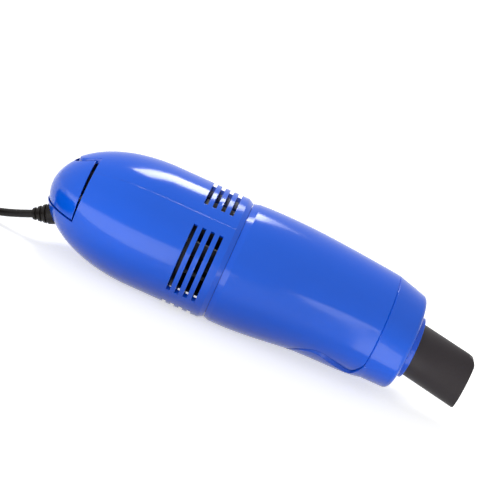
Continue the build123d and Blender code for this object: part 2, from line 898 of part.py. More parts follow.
def duct_insert():
    """Inlet duct on a deck that seats inside the cap and keeps the nozzle ring in its bore."""
    front = ring_back() - sliding_fit
    fit = -cup_wall - static_fit
    insert = loft_between(cap_station(front - duct_deck, fit), cap_station(front, fit))
    insert += disc(duct_bore_radius + duct_wall, front - duct_length, front, collar_level)
    return insert - disc(duct_bore_radius, front - duct_length - overrun, front + overrun, collar_level)


def loft_between(start, end):
    """Straight tapered round form between two stations."""
    return barrel([start, end])


def barrel_ring(x, outer, inner, rise):
    """Short ring that ties the cap's spigot to its skin."""
    ring_face = Plane.YZ.offset(x) * Pos(0, rise) * (Circle(outer) - Circle(inner))
    return extrude(ring_face, amount=cap_spigot_wall)


def cap_tongue():
    """The cap's wide tongue, seated in the bottom of the cup."""
    end = cup_length + tongue_blend
    proud = cup_stations(tongue_rise) + [cap_station(end, 0)]
    seat = cup_stations(-tongue_seat) + [cap_station(end, -tongue_seat)]
    return (barrel(proud) - barrel(seat)) & tongue_prism(0)


def ring_back():
    """Back of the nozzle ring's flange, behind the cap's front wall."""
    return face_place - cap_wall - sliding_fit - collar_flange


def nozzle_ring():
    """Ring that turns in the cap's bore and holds the nozzle."""
    lip = disc(collar_radius, face_place + sliding_fit, collar_face, collar_level)
    neck = disc(collar_neck_radius, ring_back(), collar_face, collar_level)
    flange = disc(collar_flange_radius, ring_back(), ring_back() + collar_flange, collar_level)
    bore = disc(collar_bore_radius, ring_back() - overrun, collar_face + overrun, collar_level)
    return lip + neck + flange - bore


def nozzle_form(grow):
    """Nozzle form, round at the ring and flattened at the tip."""
    waist = nozzle_waist_share
    waist_half_height = nozzle_root_radius + waist * (nozzle_tip_half_height - nozzle_root_radius)
    stations = [
        (0, nozzle_root_radius, nozzle_root_radius),
        (waist, nozzle_waist_half_width, waist_half_height),
        (1, nozzle_tip_half_width, nozzle_tip_half_height),
    ]
    faces = []
    for share, half_width, half_height in stations:
        place = collar_face + share * nozzle_reach
        level = collar_level - share * nozzle_drop
        faces.append(Plane.YZ.offset(place) * Pos(0, level) * Ellipse(half_width + grow, half_height + grow))
    return loft(faces)


def rubber_nozzle():
    """Rubber nozzle: plug in the ring, tapering to a flat mouth with a rounded upper corner."""
    back = collar_face - nozzle_plug
    bore = nozzle_root_radius - nozzle_wall
    form = nozzle_form(0) + disc(collar_bore_radius - running_fit, back, collar_face, collar_level)
    form -= nozzle_form(-nozzle_wall)
    form -= disc(bore, back - overrun, collar_face, collar_level)
    top = collar_level - nozzle_drop + nozzle_tip_half_height
    bottom = top - nozzle_tip_half_height - nozzle_tip_half_height
    upper_end = nozzle_tip - nozzle_top_corner
    lower_end = nozzle_tip - nozzle_bottom_corner
    reach = body_radius
    rear = back - overrun
    corner = ThreePointArc((upper_end, top), corner_middle(top), (nozzle_tip, top - nozzle_top_corner))
    mouth = [corner @ 1, (nozzle_tip, bottom + nozzle_bottom_corner), (lower_end, bottom)]
    rest = [(lower_end, -reach), (rear, -reach), (rear, reach), (upper_end, reach), corner @ 0]
    outline = [corner, Polyline(*mouth, *rest)]
    side = extrude(Plane.XZ * make_face(outline), amount=body_radius, both=True)
    return form & side


def corner_middle(top):
    """Middle of the arc that rounds the nozzle's upper front corner."""
    inset = nozzle_top_corner * (1 - sqrt(2) / 2)
    return nozzle_tip - inset, top - inset


# Strain relief and wires inside


def strain_relief():
    """Ribbed strain relief: taper outside, sleeve through the chin and flange inside."""
    step = relief_taper / (relief_ribs + relief_ribs)
    slope = (relief_base_radius - relief_end_radius) / relief_taper
    outline = [(0, 0), (0, relief_end_radius)]
    for k in range(relief_ribs):
        near = step * (2 * k + 1)
        far = step * (2 * k + 2)
        outline.append((near, relief_end_radius + slope * near))
        outline.append((near, relief_end_radius + slope * near - relief_groove))
        outline.append((far, relief_end_radius + slope * far - relief_groove))
        outline.append((far, relief_end_radius + slope * far))
    sleeve_end = relief_taper + relief_sleeve
    end = sleeve_end + relief_flange
    outline += [(sleeve_end, relief_base_radius), (sleeve_end, relief_flange_radius)]
    outline += [(end, relief_flange_radius), (end, 0)]
    start, direction = relief_axis()
    shape = turned(outline)
    return Plane(origin=start, x_dir=-direction, z_dir=(0, 1, 0)).location * shape


def lead_wires():
    """Supply wire to the switch, wire from the switch to the motor, and return wire."""
    inlet = relief_inlet() + Vector(wire_radius, 0, 0)
    spread = wire_radius + wire_radius
    under = switch_plate_cut - spread - spread
    lane = switch_plate_front + switch_post_length + wire_radius + running_fit
    tab = bell_back - terminal_length / 2
    tab_side = terminal_offset + terminal_thickness / 2 + wire_radius + running_fit
    low_post, high_post = switch_post_levels()
    supply = [
        (inlet.X, spread, inlet.Z),
        (switch_plate_back, spread, under),
        (lane, spread, under + spread),
        (lane, 0, low_post - switch_post_radius),
    ]
    switched = [
        (lane, 0, high_post),
        (lane, terminal_offset / 2, high_post + spread),
        (lane, tab_side, high_post - spread),
        (tab, tab_side, terminal_width + spread),
        (tab, tab_side, 0),
    ]
    back = [
        (inlet.X, -spread, inlet.Z),
        (switch_plate_back, -spread, under),
        (lane, -terminal_offset, under + spread),
        (tab, -tab_side, -terminal_width - spread),
        (tab, -tab_side, 0),
    ]
    return [routed(points, wire_radius) for points in (supply, switched, back)]


# Lead on the floor


def lead_route():
    """Points of the free stretch: out of the strain relief along its axis, then along the floor."""
    end, direction = relief_axis()
    start = end + Vector(frame_shift, 0, axis_height)
    bend = start + direction * ((start.Z - cord_level) / -direction.Z)
    return [start, bend, bend - Vector(lead_end_run, 0, 0)]


def coil_centre():
    """Centre of the coil on the floor."""
    start = lead_route()[-1] - Vector(cord_diameter, 0, 0)
    return start - Vector(0, coil_radius(0), 0)


def coil_turns():
    """Number of turns in the coil."""
    return 2 * coil_first_turns + (coil_layers - 2) * coil_pass_turns


def coil_reversals():
    """Turn counts at which the spiral reverses and climbs a layer."""
    return [coil_first_turns + coil_pass_turns * k for k in range(coil_layers - 1)]


def coil_radius(turn):
    """Radius of the spiral: in, out, in and out again at a steady rate."""
    inner = coil_reversals()[0::2]
    return coil_inner_radius + coil_pitch * min(abs(turn - place) for place in inner)


def coil_point(turn):
    """Point of the coil's centre line."""
    height = 0
    for place in coil_reversals():
        climb = min(max((turn - place) / coil_climb_turns + 1 / 2, 0), 1)
        height += coil_pitch * climb * climb * (3 - 2 * climb)
    angle = radians(90 + 360 * turn)
    radius = coil_radius(turn)
    return coil_centre() + Vector(radius * cos(angle), radius * sin(angle), height)


def coil_direction(turn):
    """Direction of the coil's centre line, level in and out at its two ends."""
    step = coil_climb_turns / 1000
    if turn in (0, coil_turns()):
        return Vector(-1, 0, 0)
    return (coil_point(turn + step) - coil_point(turn - step)).normalized()


def biarc(start, start_way, end, end_way):
    """Two tangent arcs between two points with given directions."""
    run = end - start
    ways = start_way + end_way
    turn = 2 * (1 - start_way.dot(end_way))
    reach = (sqrt(run.dot(ways) ** 2 + turn * run.dot(run)) - run.dot(ways)) / turn
    middle = (start + start_way * reach + end - end_way * reach) / 2
    first = TangentArc(start, middle, tangent=start_way)
    return [first, TangentArc(middle, end, tangent=first % 1)]


def coil_path():
    """Unbroken centre line of the coil, with a short straight run at each end."""
    steps = int(4 * coil_turns())
    turns = [k / 4 for k in range(steps + 1)]
    edges = [Line(coil_point(0) + Vector(cord_diameter, 0, 0), coil_point(0))]
    for before, after in zip(turns, turns[1:]):
        edges += biarc(coil_point(before), coil_direction(before), coil_point(after), coil_direction(after))
    end = coil_point(turns[-1])
    edges.append(Line(end, end - Vector(cord_diameter, 0, 0)))
    return edges


def coil_gap(edges):
    """Least gap between the coil's turns, measured on points of its centre line."""
    samples = 6
    points = [edge @ (k / samples) for edge in edges for k in range(samples)]
    per_turn = samples * 8
    least = body_radius
    for k, point in enumerate(points):
        for other in points[k + per_turn // 2:]:
            least = min(least, (point - other).length)
    return least - cord_diameter


def cord_lead():
    """Free stretch from the strain relief to the coil."""
    points = lead_route()
    print("lead radii", [round(radius, 1) for radius in corner_radii(points)])
    return routed(points, cord_radius)


def cord_coil():
    """Put-away coil of the lead, as one unbroken tube."""
    edges = coil_path()
    length = sum(edge.length for edge in edges)
    print("coil length", round(length, 1), "least gap", round(coil_gap(edges), 2))
    return tube(Wire(edges), cord_radius)


def tail_route():
    """Points of the stretch from the coil to the plug."""
    centre = coil_centre()
    start = coil_point(coil_turns()) - Vector(cord_diameter, 0, 0)
    places = [(centre.X + x, centre.Y + y, z) for x, y, z in (*tail_points, tail_end)]
    return [tuple(start), *places]


def cord_tail():
    """Stretch from the coil to the plug."""
    points = tail_route()
    print("tail radii", [round(radius, 1) for radius in corner_radii(points)])
    return routed(points, cord_radius)


def cable_tie():
    """Strap round the coil's bundle."""
    centre = coil_centre()
    inner = coil_inner_radius - cord_radius - tie_gap
    outer = coil_radius(coil_reversals()[1]) + cord_radius + tie_gap
    top = cord_level + coil_pitch * (coil_layers - 1) + cord_radius + tie_gap
    half = tie_width / 2
    room = block((-half - overrun, -outer, tie_thickness), (half + overrun, -inner, top))
    band = block((-half, -outer - tie_thickness, 0), (half, tie_thickness - inner, top + tie_thickness))
    return Pos(centre.X, centre.Y, 0) * Rot(0, 0, -90) * (band - room)


# USB plug at the end of the lead


def plug_place():
    """Place of the plug: its neck's end on the lead, pointing along -X."""
    x, y, z = tail_route()[-1]
    return Plane(origin=(x, y, z), x_dir=(0, 1, 0), z_dir=(-1, 0, 0))


def plug_block(width, height, start, length):
    """Block along the plug's axis."""
    return extrude(Pos(0, 0, start) * Rectangle(width, height), amount=length)


def plug_body():
    """Moulded grip with a tapered neck."""
    neck = Pos(0, 0, plug_neck / 2) * Cone(cord_radius + relief_groove, plug_neck_radius, plug_neck)
    grip = plug_block(plug_width, plug_height, plug_neck, plug_length)
    grip = fillet(grip.edges().filter_by(Axis.Z), radius=plug_corner)
    grip = chamfer(grip.edges().group_by(Axis.Z)[0], length=plug_corner / 2)
    return neck + grip


def plug_shell():
    """Pressed steel shell with two latch windows on its upper and lower sides."""
    start = plug_neck + plug_length
    sleeve = plug_block(plug_shell_width, plug_shell_height, start, plug_shell_length)
    inside_width = plug_shell_width - plug_shell_wall - plug_shell_wall
    inside_height = plug_shell_height - plug_shell_wall - plug_shell_wall
    sleeve -= plug_block(inside_width, inside_height, start, plug_shell_length + overrun)
    for side in (1, -1):
        place = Pos(side * plug_window_offset, 0, start + plug_window_back + plug_window / 2)
        sleeve -= place * Box(plug_window, plug_height, plug_window)
    return sleeve


def plug_tongue():
    """Insulating tongue in the shell's lower half."""
    start = plug_neck + plug_length
    width = plug_shell_width - plug_shell_wall - plug_shell_wall - static_fit
    low = plug_shell_height / 2 - plug_shell_wall - static_fit / 2
    tongue = plug_block(width, plug_tongue_thickness, start, plug_shell_length - plug_shell_wall)
    return Pos(0, low - plug_tongue_thickness / 2, 0) * tongue


def plug_contacts():
    """Four gold contacts on the tongue."""
    start = plug_neck + plug_length + plug_shell_length - plug_contact_length - plug_shell_wall
    top = plug_shell_height / 2 - plug_shell_wall - static_fit / 2 - plug_tongue_thickness
    strip = plug_block(plug_contact_width, plug_contact_thickness, start, plug_contact_length)
    first = -plug_contact_pitch * (plug_contacts_count - 1) / 2
    level = top - plug_contact_thickness / 2
    return [Pos(first + plug_contact_pitch * k, level, 0) * strip for k in range(plug_contacts_count)]


def export(name, shapes, place):
    """Write one piece, or one group of like pieces, to its own file."""
    shapes = shapes if isinstance(shapes, list) else [shapes]
    solids = [place * solid for shape in shapes for solid in shape.solids()]
    export_step(Compound(children=solids) if len(solids) > 1 else solids[0], f"parts/{name}.step")


os.makedirs("parts", exist_ok=True)
shell_lower, shell_upper = rear_shells()
wire_supply, wire_switch, wire_return = lead_wires()
body_pieces = {
    "rear_shell_lower": shell_lower,
    "rear_shell_upper": shell_upper,
    "shell_screws": shell_screws(),
    "tail_button": tail_button(),
    "button_pin": button_pin(),
    "switch_plate": switch_plate(),
    "switch_body": switch_body(),
    "switch_plunger": switch_plunger(),
    "motor_mount": motor_mount(),
    "motor_screws": motor_screws(),
    "motor_can": motor_can(),
    "motor_magnets": motor_magnets(),
    "motor_armature": motor_armature(),
    "motor_commutator": motor_commutator(),
    "motor_shaft": motor_shaft(),
    "motor_bushes": motor_bushes(),
    "motor_end_bell": motor_end_bell(),
    "motor_terminals": motor_terminals(),
    "impeller": impeller(),
    "fan_inlet_plate": fan_inlet_plate(),
    "seal_ring": seal_ring(),
    "filter_frame": filter_frame(),
    "filter_cloth": filter_cloth(),
    "dust_cup": dust_cup(),
    "nose_cap": nose_cap(),
    "duct_insert": duct_insert(),
    "nozzle_ring": nozzle_ring(),
    "rubber_nozzle": rubber_nozzle(),
    "strain_relief": strain_relief(),
    "wire_supply": wire_supply,
    "wire_switch": wire_switch,
    "wire_return": wire_return,
}
floor_pieces = {
    "cord_lead": cord_lead(),
    "cord_coil": cord_coil(),
    "cord_tail": cord_tail(),
    "cable_tie": cable_tie(),
}
plug_pieces = {
    "plug_body": plug_body(),
    "plug_shell": plug_shell(),
    "plug_tongue": plug_tongue(),
    "plug_contacts": plug_contacts(),
}
for name, shapes in body_pieces.items():
    export(name, shapes, to_rest)
for name, shapes in floor_pieces.items():
    export(name, shapes, Pos(0, 0, 0))
for name, shapes in plug_pieces.items():
    export(name, shapes, plug_place().location)
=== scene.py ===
from math import cos, pi, radians, sin

import bmesh
import bpy
from mathutils import Matrix, Vector


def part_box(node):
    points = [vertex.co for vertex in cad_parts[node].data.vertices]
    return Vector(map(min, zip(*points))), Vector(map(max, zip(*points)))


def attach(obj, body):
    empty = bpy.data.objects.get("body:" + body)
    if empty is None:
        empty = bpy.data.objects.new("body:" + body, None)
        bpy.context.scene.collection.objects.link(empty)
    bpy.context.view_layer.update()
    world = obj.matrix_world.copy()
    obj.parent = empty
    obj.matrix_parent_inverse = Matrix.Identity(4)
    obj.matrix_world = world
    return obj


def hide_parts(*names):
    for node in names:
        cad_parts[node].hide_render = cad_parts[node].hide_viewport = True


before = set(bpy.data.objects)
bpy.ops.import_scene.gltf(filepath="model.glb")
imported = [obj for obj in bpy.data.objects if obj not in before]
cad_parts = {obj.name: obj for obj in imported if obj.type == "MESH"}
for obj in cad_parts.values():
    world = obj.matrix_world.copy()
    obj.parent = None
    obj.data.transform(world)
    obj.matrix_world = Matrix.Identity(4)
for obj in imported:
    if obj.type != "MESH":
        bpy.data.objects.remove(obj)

bl_info = {
    "name": "Keyboard vacuum cleaner",
    "version": (1, 0, 0),
    "blender": (4, 5, 0),
    "location": "View3D > Sidebar > Vacuum",
    "description": "Finishes, ring rim, lead, filter cloth and stage of a USB keyboard vacuum cleaner",
    "category": "Object",
}

MM = 0.001
WHITE = (1, 1, 1, 1)

# Sockets of a colour mix: its share, its two colours and its result
MIX_SHARE, MIX_FROM, MIX_TO, MIX_RESULT = 0, 6, 7, 2

# The lead's route on the floor, in metres: out of the strain relief, and from the coil to the plug
LEAD_ROUTE = ((-0.0814, 0, 0.0082), (-0.09491, 0, 0.0019), (-0.10971, 0, 0.0019))
TAIL_ROUTE = (
    (-0.11531, 0, 0.0118),
    (-0.12531, 0, 0.0118),
    (-0.13731, 0, 0.004),
    (-0.14731, 0, 0.004),
)


def linear(hex_colour):
    """Linear colour with alpha from an sRGB hex value."""
    shares = [int(hex_colour[k:k + 2], 16) / 255 for k in (1, 3, 5)]
    return (*(c / 12.92 if c <= 0.04045 else ((c + 0.055) / 1.055) ** 2.4 for c in shares), 1.0)


def colour(hex_colour, name, description):
    """Colour property with an sRGB hex default."""
    return bpy.props.FloatVectorProperty(
        name=name, description=description, subtype="COLOR", size=4, min=0, max=1, default=linear(hex_colour)
    )


def length(default, name, description):
    """Length property in metres."""
    return bpy.props.FloatProperty(
        name=name, description=description, unit="LENGTH", precision=5, default=default
    )


def position(default, name, description):
    """Point in metres."""
    return bpy.props.FloatVectorProperty(
        name=name, description=description, subtype="TRANSLATION", unit="LENGTH", precision=4, default=default
    )


def sides(default, name, description):
    """Width and height of a lamp in metres."""
    return bpy.props.FloatVectorProperty(
        name=name, description=description, size=2, unit="LENGTH", default=default
    )


def amount(default, name, description):
    """Plain number."""
    return bpy.props.FloatProperty(name=name, description=description, default=default)


def count(default, least, name, description):
    """Whole number with a least value."""
    return bpy.props.IntProperty(name=name, description=description, min=least, default=default)


def angle(degrees, name, description):
    """Angle property, its default given in degrees."""
    return bpy.props.FloatProperty(
        name=name, description=description, subtype="ANGLE", default=radians(degrees)
    )


class VacuumColours(bpy.types.PropertyGroup):
    """Colours of the cleaner's materials."""

    abs_blue: colour("#0059DA", "ABS blue", "Dyed housing plastic")
    rubber_grey: colour("#241D21", "Rubber grey", "Nozzle rubber")
    sheath_black: colour("#140E0B", "Sheath black", "Soft PVC of the lead, strain relief and plug")
    nylon_black: colour("#202023", "Nylon black", "Fan, plates, duct, filter frame, switch and plug tongue")
    nickel: colour("#C9C8C6", "Nickel", "Plated steel of the can, pin, screws and plug shell")
    brass: colour("#C9A15A", "Brass", "Bushes, tabs and contacts")
    iron: colour("#55565A", "Iron", "Rotor core and magnets")
    filter_white: colour("#E4E3DE", "Filter white", "Non-woven filter cloth")
    wire_red: colour("#B8262A", "Wire red", "Insulation of the live wires")
    wire_black: colour("#1B1B1D", "Wire black", "Insulation of the return wire")
    floor_white: colour("#E8E8E6", "Floor white", "Studio floor")


class VacuumSizes(bpy.types.PropertyGroup):
    """Sizes of the lead and of the pieces made here."""

    cord_radius: length(1.4 * MM, "Cord radius", "Half the lead's thickness")
    coil_inner_radius: length(11.4 * MM, "Coil inner radius", "Middle of the innermost turn")
    coil_pitch: length(3.3 * MM, "Coil pitch", "Distance between turns and between layers")
    lead_length: length(1.05, "Lead length", "From the strain relief to the plug")
    coil_end_turns: amount(2.25, "End turns", "Turns in the first and last layer")
    coil_pass_turns: amount(2.75, "Pass turns", "Turns in each inner layer")
    coil_climb_turns: amount(0.5, "Climb turns", "Turns that a climb takes")
    coil_steps: count(24, 12, "Coil steps", "Control points in each turn")
    rim_radius: length(11.2 * MM, "Rim radius", "Outside of the rim round the root of the nozzle")
    rim_reach: length(2.5 * MM, "Rim reach", "How far the rim stands out of the nose cap")
    rim_edge: length(0.25 * MM, "Rim edge", "Rounding of the rim's edges")
    rim_gap: length(0.2 * MM, "Rim gap", "Room between the rim and the cap and nozzle")
    ring_lip_radius: length(10.4 * MM, "Ring lip radius", "Lip of the nozzle ring that the rim fits over")
    rim_steps: count(128, 24, "Rim steps", "Faces round the rim")
    cloth_thickness: length(0.5 * MM, "Cloth thickness", "Thickness of the filter cloth")
    cloth_sag: length(0.9 * MM, "Cloth sag", "How far the cloth is drawn in between the ribs")
    cloth_taper: length(5.5 * MM, "Cloth taper", "How much narrower the bag's end is than its mouth")
    cloth_ribs: count(6, 3, "Filter ribs", "Ribs that hold the cloth")
    cloth_steps: count(96, 24, "Cloth steps", "Faces round the cloth")
    cloth_rings: count(16, 4, "Cloth rings", "Faces along the cloth")


class VacuumStage(bpy.types.PropertyGroup):
    """Camera and lamps."""

    azimuth: angle(0.791, "Azimuth", "Camera's turn about the vertical")
    elevation: angle(16.844, "Elevation", "Camera's height above the horizon")
    roll: angle(24.537, "Roll", "Camera's turn about its own line of sight")
    distance: length(0.45, "Distance", "From the camera to the point that it looks at")
    lens: bpy.props.FloatProperty(
        name="Lens", description="Focal length", unit="CAMERA", default=93.83
    )
    sensor: bpy.props.FloatProperty(
        name="Sensor", description="Width of the sensor", unit="CAMERA", default=36
    )
    target_x: length(-7.374 * MM, "Target X", "Point that the camera looks at, along the body")
    target_z: length(28.607 * MM, "Target Z", "Height of the point that the camera looks at")
    world_strength: amount(0.55, "World", "Strength of the even light")
    floor_half: length(3.0, "Floor half", "Half the floor's side")
    floor_glow: amount(0.6, "Floor glow", "White that the eye and reflections see on top of the lit floor")
    lamp_aim: position((-0.02, 0, 0.03), "Lamp aim", "Point that the lamps are turned to")
    top_place: position((-0.105, 0.25, 0.52), "Top softbox", "Middle of the softbox above and behind")
    top_sides: sides((0.32, 0.13), "Top sides", "Size of the softbox above")
    top_turn: angle(28, "Top turn", "Turn of the softbox above about its own axis")
    top_radiance: amount(18, "Top radiance", "Brightness of the softbox above, white being 1")
    top_full_x: length(-0.055, "Top full X", "Place along the body up to which it is at its brightest")
    top_dim_x: length(0.005, "Top dim X", "Place along the body from which it is at its dimmest")
    top_least: amount(0.16, "Top least", "Brightness of its dim end, as a share of the full one")
    panel_place: position((0.182, -0.6, 0.058), "Panel", "Middle of the narrow panel beside the camera")
    panel_sides: sides((0.06, 0.115), "Panel sides", "Size of the narrow panel")
    panel_turn: angle(19, "Panel turn", "Turn of the narrow panel about its own axis")
    panel_radiance: amount(3.6, "Panel radiance", "Brightness of the narrow panel, white being 1")
    near_card_place: position((0.117, -0.314, 0.001), "Near card", "Middle of the floor card before the cup")
    near_card_sides: sides((0.032, 0.585), "Near card sides", "Size of the card before the cup")
    near_card_turn: angle(-12, "Near card turn", "Turn of the card before the cup")
    wide_card_place: position((-0.28, -0.4, 0.001), "Wide card", "Middle of the card before the housing")
    wide_card_sides: sides((0.5, 0.7), "Wide card sides", "Size of the card before the housing")
    card_radiance: amount(2.1, "Card radiance", "Brightness of the cards beyond the floor's, white being 1")
    side_place: position((0.75, -0.5, 0.25), "Side softboxes", "Middle of the right one, the left mirrors it")
    side_sides: sides((0.5, 0.4), "Side sides", "Size of each side softbox")
    right_radiance: amount(0.3, "Right radiance", "Brightness of the right softbox, white being 1")
    left_radiance: amount(1.6, "Left radiance", "Brightness of the left softbox, white being 1")


def add_node(tree, kind, values=None, links=None, **settings):
    """Add a node with its settings, socket values and links."""
    node = tree.nodes.new(kind)
    for name, value in settings.items():
        setattr(node, name, value)
    for socket, value in (values or {}).items():
        node.inputs[socket].default_value = value
    for socket, source in (links or {}).items():
        tree.links.new(source, node.inputs[socket])
    return node


def new_material(name):
    """Empty node material, its tree and a source of object coordinates in metres."""
    material = bpy.data.materials.new(name)
    material.use_nodes = True
    tree = material.node_tree
    tree.nodes.clear()
    coords = add_node(tree, "ShaderNodeTexCoord").outputs["Object"]
    return material, tree, coords


def finish_material(tree, values, links):
    """Principled surface with its values and links, as the material's output."""
    shader = add_node(tree, "ShaderNodeBsdfPrincipled", values, links)
    add_node(tree, "ShaderNodeOutputMaterial", links={"Surface": shader.outputs["BSDF"]})


def shaded(base, share):
    """A colour darkened to a share of itself."""
    return (*(share * c for c in base[:3]), 1.0)


def moulded_abs(colours):
    """Polished moulded ABS: dyed through, with a mirror gloss softened by faint flow marks."""
    material, tree, coords = new_material("moulded_abs")
    # Flow marks some 9 mm across, drawn out along the body, shift the gloss a little
    flow_mm = 9
    drawn_out = (0.35, 1, 1)
    stretch = add_node(tree, "ShaderNodeMapping", {"Scale": drawn_out}, {"Vector": coords})
    flow = add_node(
        tree, "ShaderNodeTexNoise", {"Scale": 1 / (flow_mm * MM), "Detail": 3, "Roughness": 0.5},
        {"Vector": stretch.outputs["Vector"]},
    )
    # Handling scuffs of some 0.4 mm, drawn four times as coarse so that they show
    scuff_mm = 1.6
    scuff_depth_mm = 0.05
    scuff = add_node(
        tree, "ShaderNodeTexNoise", {"Scale": 1 / (scuff_mm * MM), "Detail": 6, "Roughness": 0.7},
        {"Vector": coords},
    )
    wear = add_node(
        tree, "ShaderNodeMath", links={0: flow.outputs["Fac"], 1: scuff.outputs["Fac"]}, operation="MULTIPLY"
    )
    rough = add_node(
        tree, "ShaderNodeMapRange", {"To Min": 0.12, "To Max": 0.26}, {"Value": wear.outputs["Value"]}
    )
    deeper = shaded(colours.abs_blue, 0.9)
    tint = add_node(
        tree, "ShaderNodeMix", {MIX_FROM: colours.abs_blue, MIX_TO: deeper},
        {MIX_SHARE: flow.outputs["Fac"]}, data_type="RGBA",
    )
    # Moulded edges are broken by a third of a millimetre
    edge_mm = 0.3
    edge = add_node(tree, "ShaderNodeBevel", {"Radius": edge_mm * MM}, samples=6)
    peel = add_node(
        tree, "ShaderNodeBump", {"Strength": 0.06, "Distance": scuff_depth_mm * MM},
        {"Height": scuff.outputs["Fac"], "Normal": edge.outputs["Normal"]},
    )
    finish_material(
        tree,
        {"IOR": 1.39, "Coat Weight": 0.1, "Coat Roughness": 0.05},
        {
            "Base Color": tint.outputs[MIX_RESULT],
            "Roughness": rough.outputs["Result"],
            "Normal": peel.outputs["Normal"],
        },
    )
    return material


def grained(name, base, grain_mm, depth_mm, rough_low, rough_high, ior, dust=0.12, shine=0.5):
    """Dyed soft plastic or rubber: its fine grain takes some of the shine and holds a trace of dust."""
    material, tree, coords = new_material(name)
    grain = add_node(
        tree, "ShaderNodeTexNoise", {"Scale": 1 / (grain_mm * MM), "Detail": 5, "Roughness": 0.6},
        {"Vector": coords},
    )
    # The dust lies in clouds some 12 mm across
    cloud_mm = 12
    dust_grey = 0.35
    cloud = add_node(
        tree, "ShaderNodeTexNoise", {"Scale": 1 / (cloud_mm * MM), "Detail": 4}, {"Vector": coords}
    )
    dusty = (*(c + dust * (dust_grey - c) for c in base[:3]), 1.0)
    dusting = add_node(
        tree, "ShaderNodeMath", links={0: cloud.outputs["Fac"], 1: grain.outputs["Fac"]}, operation="MULTIPLY"
    )
    tint = add_node(
        tree, "ShaderNodeMix", {MIX_FROM: base, MIX_TO: dusty},
        {MIX_SHARE: dusting.outputs["Value"]}, data_type="RGBA",
    )
    rough = add_node(
        tree, "ShaderNodeMapRange", {"To Min": rough_low, "To Max": rough_high},
        {"Value": dusting.outputs["Value"]},
    )
    bump = add_node(
        tree, "ShaderNodeBump", {"Strength": 0.35, "Distance": depth_mm * MM},
        {"Height": grain.outputs["Fac"]},
    )
    finish_material(
        tree,
        {"IOR": ior, "Specular IOR Level": shine},
        {
            "Base Color": tint.outputs[MIX_RESULT],
            "Roughness": rough.outputs["Result"],
            "Normal": bump.outputs["Normal"],
        },
    )
    return material


def moulded_rubber(colours):
    """Moulded rubber: satin, with the mould's fine grain breaking up the light."""
    # Grain of some 0.1 mm, drawn four times as coarse so that it shows
    return grained(
        "moulded_rubber", colours.rubber_grey, grain_mm=0.4, depth_mm=0.04,
        rough_low=0.42, rough_high=0.62, ior=1.52, dust=0.06, shine=0.28,
    )


def soft_pvc(colours):
    """Extruded and moulded soft PVC: black, with a dull sheen."""
    # Grain of some 0.1 mm, drawn five times as coarse so that it shows
    return grained(
        "soft_pvc", colours.sheath_black, grain_mm=0.5, depth_mm=0.03,
        rough_low=0.38, rough_high=0.55, ior=1.53, dust=0.05, shine=0.25,
    )


def black_nylon(colours):
    """Glass-filled nylon: near black, matt and faintly mottled."""
    # Mottling of some 0.1 mm, drawn five times as coarse so that it shows
    return grained(
        "black_nylon", colours.nylon_black, grain_mm=0.5, depth_mm=0.02,
        rough_low=0.45, rough_high=0.65, ior=1.53,
    )


def wire_insulation(name, base):
    """Extruded wire insulation: smooth and satin."""
    # Grain of some 0.1 mm, drawn six times as coarse so that it shows
    return grained(
        name, base, grain_mm=0.6, depth_mm=0.01, rough_low=0.3, rough_high=0.42, ior=1.5, dust=0.05
    )


def metal(name, base, line_mm, along, rough_low, rough_high):
    """Drawn or pressed metal with fine lines along one axis."""
    material, tree, coords = new_material(name)
    line_depth_mm = 0.02
    drawn_out = [1, 1, 1]
    drawn_out[along] = 0.05
    stretch = add_node(tree, "ShaderNodeMapping", {"Scale": drawn_out}, {"Vector": coords})
    lines = add_node(
        tree, "ShaderNodeTexNoise", {"Scale": 1 / (line_mm * MM), "Detail": 3},
        {"Vector": stretch.outputs["Vector"]},
    )
    duller = shaded(base, 0.82)
    tint = add_node(
        tree, "ShaderNodeMix", {MIX_FROM: base, MIX_TO: duller},
        {MIX_SHARE: lines.outputs["Fac"]}, data_type="RGBA",
    )
    rough = add_node(
        tree, "ShaderNodeMapRange", {"To Min": rough_low, "To Max": rough_high},
        {"Value": lines.outputs["Fac"]},
    )
    bump = add_node(
        tree, "ShaderNodeBump", {"Strength": 0.15, "Distance": line_depth_mm * MM},
        {"Height": lines.outputs["Fac"]},
    )
    finish_material(
        tree,
        {"Metallic": 1},
        {
            "Base Color": tint.outputs[MIX_RESULT],
            "Roughness": rough.outputs["Result"],
            "Normal": bump.outputs["Normal"],
        },
    )
    return material


def nickel_plate(colours):
    """Nickel-plated pressed steel: bright, with faint drawing lines."""
    # Lines of some 0.05 mm, drawn seven times as coarse so that they show
    return metal("nickel_plate", colours.nickel, line_mm=0.35, along=0, rough_low=0.2, rough_high=0.36)


def bare_brass(colours):
    """Bare brass and sintered bronze: warm, slightly dulled."""
    # Lines of some 0.05 mm, drawn six times as coarse so that they show
    return metal("bare_brass", colours.brass, line_mm=0.3, along=0, rough_low=0.28, rough_high=0.45)


def iron_laminations(colours):
    """Stacked iron laminations: dull, with a line for each half-millimetre sheet."""
    return metal("iron_laminations", colours.iron, line_mm=0.5, along=1, rough_low=0.45, rough_high=0.6)


